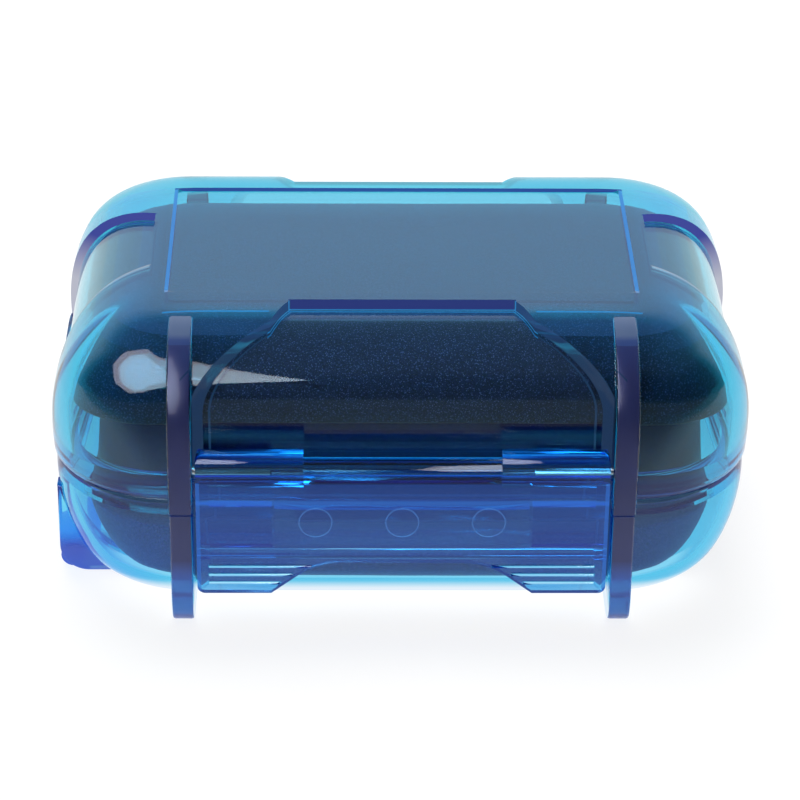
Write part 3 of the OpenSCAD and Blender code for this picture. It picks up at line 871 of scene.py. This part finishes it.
def channel_lines(m, body, at):
    """Painted light and shade on the edges of the channels over the ends: pale painted highlights
    in front, painted violet shade giving way to lilac light behind.
    """
    x0, y0 = CHANNEL_START
    flank = at.across - at.along(m, CHANNEL_COURSE, CHANNEL_START, CHANNEL_END)
    side = flank.near(y0, 0.14) * (at.wide > x0 - 0.2) * (at.z > CHANNEL_LOW)
    high = m.add("ShaderNodeValToRGB", {"stops": CHANNEL_FADE}, at.height)
    body = m.glow(body, side * at.front, PALE_EDGE)
    body = m.glow(body, side * at.rear, LILAC_EDGE)
    return m.glow(body, side * at.rear * high, HIGH_EDGE)


def label_lines(m, body, at):
    """Painted light and shade on the rim of the label recess: blue at its ends, violet shade
    behind, a pale highlight in front.
    """
    off_x, off_y, rim = at.wide - LABEL_X, at.across - LABEL_Y, 0.5
    ends = (off_x > -0.05) * (off_x < rim) * (off_y < rim) * at.top
    sides = (off_y > -0.05) * (off_y < rim) * (off_x < rim) * at.top
    body = m.glow(body, ends, LABEL_END)
    body = m.glow(body, sides * at.rear, LABEL_REAR)
    return m.glow(body, sides * at.front, LABEL_FRONT)


def latch_lines(m, body, at):
    """Painted blue light on the latch's face, with painted lines of light and shade at its edges,
    grip grooves and round marks.
    """
    edge, skin = LATCH_W / 2, LATCH_BEHIND - LATCH_FACE
    face = (at.y < skin) * (at.z < LATCH_Z - 1.1)
    body = m.glow(body, face, LATCH_PAINTED_LIGHT)
    lines = m.add("ShaderNodeValToRGB", {"stops": LATCH_LINES}, at.height)
    body = m.glow(body, face * lines, LATCH_LINE)
    hook = at.z.near(HOOK_TOP, 0.12) * (at.wide > CATCH_W / 2 + 0.1)
    body = m.glow(body, face * ((at.wide > edge - 0.6) + hook), LATCH_EDGE)
    for i in (1, 2, 3):
        z = grip_z(i)
        bar = (at.wide > arch_half(z) + GRIP_START) * (at.wide < edge - GRIP_END)
        body = m.glow(body, face * bar * at.z.near(z, 0.27), GRIP_LINE)
    for off in (at.wide, at.wide - MARK_PITCH):
        gap = off.size().to_power(2) + (at.z - MARK_Z).size().to_power(2)
        mark = gap.to_power(0.5).near(MARK_R, 0.09)
        body = m.glow(body, mark * (at.y > skin), MARK_LINE)
    return body


def hull_lines(m, body, at):
    """Faint painted blue light on the lower hull and on both rims."""
    low = (at.z < BASE_TOP - RIM_H) * at.off_rib
    body = m.glow(body, low, BASE_PAINTED_LIGHT)
    return m.glow(body, at.z.near(SEAM_Z, RIM_H + 0.1) * at.off_rib, RIM_PAINTED_LIGHT)


def clear_plastic(name, tint, is_latch=False):
    """Tinted clear plastic, cyan where it is thin and deep blue where light crosses more of it."""
    m = Tree(name)
    place = m.add("ShaderNodeTexCoord", None, out="Object")
    grain = m.add("ShaderNodeTexNoise", None, Vector=place, Scale=900, Detail=2)
    body = m.add(
        "ShaderNodeBsdfPrincipled",
        None,
        Base_Color=(0.9, 0.97, 1, 1),
        Roughness=0.03,
        IOR=CLEAR_IOR,
        Transmission_Weight=1,
        Normal=m.add("ShaderNodeBump", None, Strength=0.02, Distance=0.05 * MM, Height=grain),
    )
    at = Spot(m, place)
    # Painted light and shade over the clear plastic, layer on layer
    body = plate_painted_shade(m, rib_painted_shade(m, body, at, place), at)
    for lines in (recess_lines, painted_veils, channel_lines, label_lines):
        body = lines(m, body, at)
    body = (latch_lines if is_latch else hull_lines)(m, body, at)
    shadow = m.add("ShaderNodeBsdfTransparent", None, Color=SHADOW_TINT)
    path = m.add("ShaderNodeLightPath", None, out="Is Shadow Ray")
    m.surface(m.add("ShaderNodeMixShader", None, path, body, shadow))
    m.volume(m.add("ShaderNodeVolumeAbsorption", None, Color=tint, Density=TINT_DENSITY))
    return m.owner


CLEAR_IOR = 1.49
SHADOW_TINT = (0.93, 0.95, 0.96, 1)
SHELL_TINT = (0, 0.83, 0.93, 1)
LATCH_TINT = (0, 0.72, 0.96, 1)
TINT_DENSITY = 540

# Where the painted light and shade start or end, in millimetres
TOP_LOW, END_X, END_TOP, CHANNEL_LOW = 45.6, 37, 44, 24
SHOULDER_X0, SHOULDER_X1, SHOULDER_Y, SHOULDER_Z = 20.3, 36.5, 24.4, 46
REAR_Y, REAR_Z, REAR_PAINT_TOP = 18.6, 40, 42
UNDER_Y, UNDER_Z = -23, 5.7
LEFT_X, LEFT_Z = -36, 13
PLATE_SKIN_X = -46

# Painted shade and light on the ribs and on the lanyard plates, from low to high
RIB_PAINT_SHARE = 0.8
# Painted blue light from the table at the ribs' feet, painted violet shade for their depth, and a
# painted grey reflection at their tops
RIB_PAINTED_SHADES = [
    (0.0, (0.12, 0.28, 1, 1)),
    (0.2, (0.06, 0.19, 0.8, 1)),
    (0.27, (0.034, 0.050, 0.23, 1)),
    (0.9, (0.025, 0.036, 0.18, 1)),
    (0.972, (0.025, 0.042, 0.18, 1)),
    (0.98, (0.10, 0.14, 0.24, 1)),
]
# Painted shade on the lower end of the lanyard plates, and how it fades upwards
LUG_PAINTED_SHADE = (0.15, 0.14, 0.55, 1)
LUG_FADE = [(0.0, grey(0.8)), (0.4, grey(0.8)), (0.62, grey(0))]

# Layers of painted light and shade, each an emitted colour with its share
VEIL_BLUE, HULL_BLUE, LINE_BLUE = (0.1, 0.35, 1, 1), (0.03, 0.2, 1, 1), (0.038, 0.156, 0.578, 1)
EDGE_VIOLET, EDGE_PALE = (0.030, 0.045, 0.30, 1), (0.50, 0.52, 0.58, 1)
# Painted shade on the recess step and its flanks, and a painted highlight along the shoulder
STEP_PAINTED_SHADE = (0.9, (0.021, 0.018, 0.13, 1))
FLANK_PAINTED_SHADE = (0.8, (0.018, 0.045, 0.11, 1))
SHOULDER_HIGHLIGHT = (0.6, (0.03, 0.30, 0.72, 1))
# Painted light on the top, the ends, behind, low in front, at the left, on the lower hull and on
# the rims
TOP_PAINTED_LIGHT, END_PAINTED_LIGHT = (0.07, VEIL_BLUE), (0.007, VEIL_BLUE)
REAR_PAINTED_LIGHT = (0.22, (0.15, 0.72, 0.76, 1))
LOW_PAINTED_LIGHT = (0.5, (0.8, 0.9, 0.96, 1))
BASE_PAINTED_LIGHT, LEFT_PAINTED_LIGHT = (0.045, HULL_BLUE), (0.0015, HULL_BLUE)
RIM_PAINTED_LIGHT = (0.04, (0.02, 0.10, 0.7, 1))
# Painted highlights and shade on the channel edges and on the label rim
PALE_EDGE, LILAC_EDGE, HIGH_EDGE = (0.6, EDGE_PALE), (0.7, (0.66, 0.68, 0.80, 1)), (1, EDGE_VIOLET)
CHANNEL_FADE = [(0.66, grey(0)), (0.86, grey(0.95))]
LABEL_FRONT, LABEL_REAR = (0.25, EDGE_PALE), (0.8, EDGE_VIOLET)
LABEL_END = (0.7, (0.06, 0.30, 0.78, 1))

# Painted light on the latch's face, and painted lines of light and shade on it
LATCH_PAINTED_LIGHT = (0.2, (0.02, 0.12, 0.6, 1))
LATCH_LINE, LATCH_EDGE = (1, LINE_BLUE), (0.55, LINE_BLUE)
LATCH_LINES = [
    (0.468, grey(0)),
    (0.473, grey(0.55)),
    (0.487, grey(0.55)),
    (0.492, grey(0)),
    (0.507, grey(0)),
    (0.510, grey(0.45)),
    (0.513, grey(0)),
]
GRIP_LINE = (0.55, (0.07, 0.61, 0.75, 1))
MARK_LINE = (0.5, (0.15, 0.27, 0.56, 1))


def sponge(name, deep, pale, fleck):
    """Dark sponge with fine pale speckles, from a deep to a pale shade."""
    m = Tree(name)
    place = m.add("ShaderNodeTexCoord", None, out="Object")
    cells = m.add("ShaderNodeTexNoise", None, Vector=place, Scale=4500, Detail=2)
    speck = m.add("ShaderNodeTexVoronoi", None, Vector=place, Scale=2900)
    shade = m.add("ShaderNodeValToRGB", {"stops": [(0.38, deep), (0.62, pale)]}, cells)
    spots = m.add("ShaderNodeValToRGB", {"stops": [(0.1, grey(1)), (0.32, grey(0))]}, speck)
    colour = m.mixed(spots, shade, fleck)
    relief = m.add("ShaderNodeBump", None, Strength=0.6, Distance=0.1 * MM, Height=cells)
    m.surface(
        m.add(
            "ShaderNodeBsdfPrincipled",
            None,
            Base_Color=colour,
            Roughness=0.85,
            Sheen_Weight=0.28,
            Normal=relief,
        )
    )
    return m.owner


def grained(name, scale, stops, relief, depth, stretch=None, **looks):
    """A material whose grain sets its shade, from the stops, and its relief."""
    m = Tree(name)
    place = m.add("ShaderNodeTexCoord", None, out="Object")
    if stretch:
        place = m.add("ShaderNodeMapping", None, Vector=place, Scale=stretch)
    grain = m.add("ShaderNodeTexNoise", None, Vector=place, Scale=scale, Detail=3)
    shade = m.add("ShaderNodeValToRGB", {"stops": stops}, grain)
    bump = m.add("ShaderNodeBump", None, Strength=relief, Distance=depth * MM, Height=grain)
    m.surface(m.add("ShaderNodeBsdfPrincipled", None, Base_Color=shade, Normal=bump, **looks))
    return m.owner


def tray_black(name):
    """Smooth black plastic with a faint mould texture."""
    stops = [(0.3, (0.005, 0.007, 0.060, 1)), (0.7, (0.008, 0.011, 0.090, 1))]
    return grained(name, 1500, stops, 0.1, 0.05, Roughness=0.45, Specular_IOR_Level=0.15)


def seal_rubber(name):
    """Matte black rubber."""
    stops = [(0.3, (0.006, 0.007, 0.010, 1)), (0.7, (0.012, 0.014, 0.018, 1))]
    return grained(name, 2200, stops, 0.2, 0.05, Roughness=0.7)


def drawn_steel(name):
    """Steel wire with faint marks along its length."""
    stops = [(0.3, (0.52, 0.53, 0.55, 1)), (0.7, (0.72, 0.73, 0.74, 1))]
    return grained(name, 1, stops, 0.3, 0.02, (60, 4000, 4000), Metallic=1, Roughness=0.25)


def table_top(name):
    """A white table that takes the case's shadow. Its mirror image fades towards the camera."""
    m = Tree(name)
    place = m.add("ShaderNodeTexCoord", None, out="Object")
    grain = m.add("ShaderNodeTexNoise", None, Vector=place, Scale=40, Detail=2)
    shade = m.add("ShaderNodeValToRGB", {"stops": [(0.3, grey(0.24)), (0.7, grey(0.26))]}, grain)
    paper = m.add("ShaderNodeValToRGB", {"stops": [(0.3, grey(0.84)), (0.7, grey(0.86))]}, grain)
    y = m.add("ShaderNodeSeparateXYZ", None, place, out="Y")
    fade = m.add("ShaderNodeValToRGB", {"stops": TABLE_FADE}, y * (1 / 0.1) + 1)
    seen = m.add(
        "ShaderNodeAddShader",
        None,
        m.add("ShaderNodeBsdfDiffuse", None, Color=shade),
        m.add("ShaderNodeEmission", None, Color=grey(1), Strength=TABLE_GLOW),
    )
    bounce = m.add("ShaderNodeBsdfDiffuse", None, Color=paper)
    mirrored_top = m.add("ShaderNodeEmission", None, Color=fade, Strength=1)
    from_diffuse = m.add("ShaderNodeLightPath", None, out="Is Diffuse Ray")
    from_camera = m.add("ShaderNodeLightPath", None, out="Is Camera Ray")
    lit = m.add("ShaderNodeMixShader", None, from_diffuse, mirrored_top, bounce)
    m.surface(m.add("ShaderNodeMixShader", None, from_camera, lit, seen))
    return m.owner


TABLE_GLOW = 0.84
TABLE_FADE = [(0.0, grey(0.22)), (0.1, grey(0.3)), (0.32, grey(1)), (0.7, grey(1))]


def softbox_cloth(name, shine, light):
    """A softbox's lit cloth: bright in reflections, plain as a light."""
    m = Tree(name)
    place = m.add("ShaderNodeTexCoord", None, out="Object")
    fold = m.add("ShaderNodeTexNoise", None, Vector=place, Scale=9, Detail=1)
    path = m.add("ShaderNodeLightPath", None, out="Is Glossy Ray")
    bright = m.add("ShaderNodeEmission", None, Color=(*shine, 1), Strength=1)
    dim = m.add("ShaderNodeEmission", None, Color=(*shine, 1), Strength=0.8)
    lamp_side = m.add("ShaderNodeEmission", None, Color=grey(1), Strength=light)
    even = m.add("ShaderNodeMixShader", None, fold, bright, dim)
    m.surface(m.add("ShaderNodeMixShader", None, path, lamp_side, even))
    return m.owner


# Stage


def camera():
    """The photograph's camera, from a fit of the case's edges. Distances are in millimetres."""
    elevation, yaw, roll = math.radians(29.243), math.radians(1.141), math.radians(0.643)
    distance, aim_height = 518.755, 20.9
    focal_px, centre_px = 3200.5, (398.783, 388.504)
    data = bpy.data.cameras.new("camera")
    data.sensor_width = 36
    data.lens = data.sensor_width * focal_px / PHOTO
    data.shift_x = (PHOTO / 2 - centre_px[0]) / PHOTO
    data.shift_y = (centre_px[1] - PHOTO / 2) / PHOTO
    data.clip_start, data.clip_end = 0.01, 20
    eye = bpy.data.objects.new("camera", data)
    turn = Euler((math.pi / 2 - elevation, 0, -yaw)).to_matrix() @ Matrix.Rotation(roll, 3, "Z")
    back = turn @ Vector((0, 0, 1))
    eye.rotation_euler = turn.to_euler()
    eye.location = Vector((0, 0, aim_height * MM)) + back * distance * MM
    bpy.context.scene.collection.objects.link(eye)
    bpy.context.scene.camera = eye


def lamp(name, place, target, size, power):
    """A square lamp that is seen in no reflection."""
    data = bpy.data.lights.new(name, "AREA")
    data.shape, data.size, data.energy = "SQUARE", size, power
    thing = bpy.data.objects.new(name, data)
    thing.location = place
    thing.rotation_euler = (Vector(place) - Vector(target)).to_track_quat("Z", "Y").to_euler()
    thing.visible_glossy = thing.visible_transmission = False
    bpy.context.scene.collection.objects.link(thing)


def table():
    bm = bmesh.new()
    bmesh.ops.create_grid(bm, x_segments=1, y_segments=1, size=3)
    mesh = bpy.data.meshes.new("table")
    bm.to_mesh(mesh)
    bm.free()
    mesh.materials.append(table_top("table_top"))
    floor = bpy.data.objects.new("table", mesh)
    bpy.context.scene.collection.objects.link(floor)


def sky():
    """A studio that is white behind, and dark above and on the camera's side."""
    m = Tree("studio", "World")
    way = m.add("ShaderNodeTexCoord", None, out="Generated")
    depth = m.add("ShaderNodeSeparateXYZ", None, way, out="Y")
    rise = m.add("ShaderNodeSeparateXYZ", None, way, out="Z")
    sweep = m.add(
        "ShaderNodeValToRGB",
        {"stops": [(0.0, grey(DARK_SIDE)), (0.56, grey(DARK_SIDE)), (0.64, BACKDROP)]},
        depth * 0.5 + 0.5,
    )
    ceiling = m.add("ShaderNodeValToRGB", {"stops": CEILING}, rise)
    room = m.add("ShaderNodeBackground", None, Color=grey(1), Strength=ROOM_LIGHT)
    seen = m.add("ShaderNodeBackground", None, Color=grey(1), Strength=1)
    mirrored_room = m.mixed(ceiling, grey(0.12), sweep)
    beyond = m.add("ShaderNodeBackground", None, Color=mirrored_room, Strength=1)
    camera_ray = m.add("ShaderNodeLightPath", None, out="Is Camera Ray")
    glossy_ray = m.add("ShaderNodeLightPath", None, out="Is Glossy Ray")
    through_ray = m.add("ShaderNodeLightPath", None, out="Is Transmission Ray")
    plain = m.add("ShaderNodeMixShader", None, camera_ray, room, seen)
    m.surface(m.add("ShaderNodeMixShader", None, glossy_ray + through_ray, plain, beyond))
    bpy.context.scene.world = m.owner


DARK_SIDE = 0.05
ROOM_LIGHT = 0.3
BACKDROP = (0.9, 1, 1.1, 1)
CEILING = [(0.0, grey(1)), (0.62, grey(1)), (0.74, grey(0))]


def softbox(name, distance, share, centre, material):
    """An eight-sided lit panel that faces the case, turned and stretched as in the photograph."""
    toward = Vector(SOFTBOX_WAY).normalized()
    bm = bmesh.new()
    face_case = (toward * distance).to_track_quat("Z", "Y").to_matrix().to_4x4()
    spot = (
        Matrix.Translation(toward * distance)
        @ face_case
        @ Matrix.Translation(centre)
        @ Matrix.Rotation(math.radians(SOFTBOX_TURN), 4, "Z")
        @ Matrix.Diagonal((SOFTBOX_LONG * share, SOFTBOX_SHORT * share, 1, 1))
        @ Matrix.Rotation(math.radians(SOFTBOX_TWIST), 4, "Z")
    )
    bmesh.ops.create_circle(bm, cap_ends=True, segments=8, radius=1, matrix=spot)
    mesh = bpy.data.meshes.new(name)
    bm.to_mesh(mesh)
    bm.free()
    mesh.materials.append(material)
    panel = bpy.data.objects.new(name, mesh)
    bpy.context.scene.collection.objects.link(panel)


SOFTBOX_WAY = (-0.36, -0.62, 0.69)
SOFTBOX_LONG, SOFTBOX_SHORT = 0.413, 0.226
SOFTBOX_TURN, SOFTBOX_TWIST = 128.8, 7.3


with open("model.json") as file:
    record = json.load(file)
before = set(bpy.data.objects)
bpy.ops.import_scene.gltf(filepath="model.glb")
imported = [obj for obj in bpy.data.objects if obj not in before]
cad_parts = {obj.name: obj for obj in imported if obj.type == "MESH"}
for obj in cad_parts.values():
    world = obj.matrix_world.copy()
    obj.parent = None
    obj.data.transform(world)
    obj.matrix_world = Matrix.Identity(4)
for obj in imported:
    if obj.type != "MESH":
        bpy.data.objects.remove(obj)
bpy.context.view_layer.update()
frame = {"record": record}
bpy.context.scene.view_settings.view_transform = "Standard"
camera()
sky()
table()
lamp("key", (-0.1, 0.4, 0.85), (0, 0, 0.02), 0.6, 8)
edge_cloth = softbox_cloth("octagon_edge_cloth", (5.0, 4.6, 5.0), 0.2)
softbox("octagon_edge", 0.6, 1, (-0.048, 0.028, 0), edge_cloth)
cloth = softbox_cloth("octagon_cloth", (6.8, 7.5, 8.9), 0.3)
softbox("octagon_middle", 0.598, 0.78, (-0.022, 0.012, 0), cloth)

clear = clear_plastic("clear_blue_plastic", SHELL_TINT)
lid_shell(clear)
base_shell(clear)
latch(clear_plastic("clear_deep_blue_plastic", LATCH_TINT, True))
pins(drawn_steel("drawn_steel"))
rim_seal(seal_rubber("seal_rubber"))
tray(tray_black("tray_black"))
# One navy sponge in both shells; the base sponge's brighter blue is painted light, standing in for
# light from the table below
lid_sponge = sponge(
    "lid_sponge", (0.003, 0.003, 0.015, 1), (0.015, 0.014, 0.065, 1), (0.11, 0.12, 0.30, 1)
)
base_sponge = sponge(
    "base_sponge", (0.007, 0.009, 0.08, 1), (0.026, 0.028, 0.22, 1), (0.12, 0.14, 0.42, 1)
)
sponge_block("lid_sponge", "lid_foam", lid_sponge, LID, TRAY_TOP + SPONGE_GAP, 0, 4, 9.2, 4)
sponge_block("base_sponge", "base_foam", base_sponge, BASE, TRAY_LOW - SPONGE_GAP, 2.2)
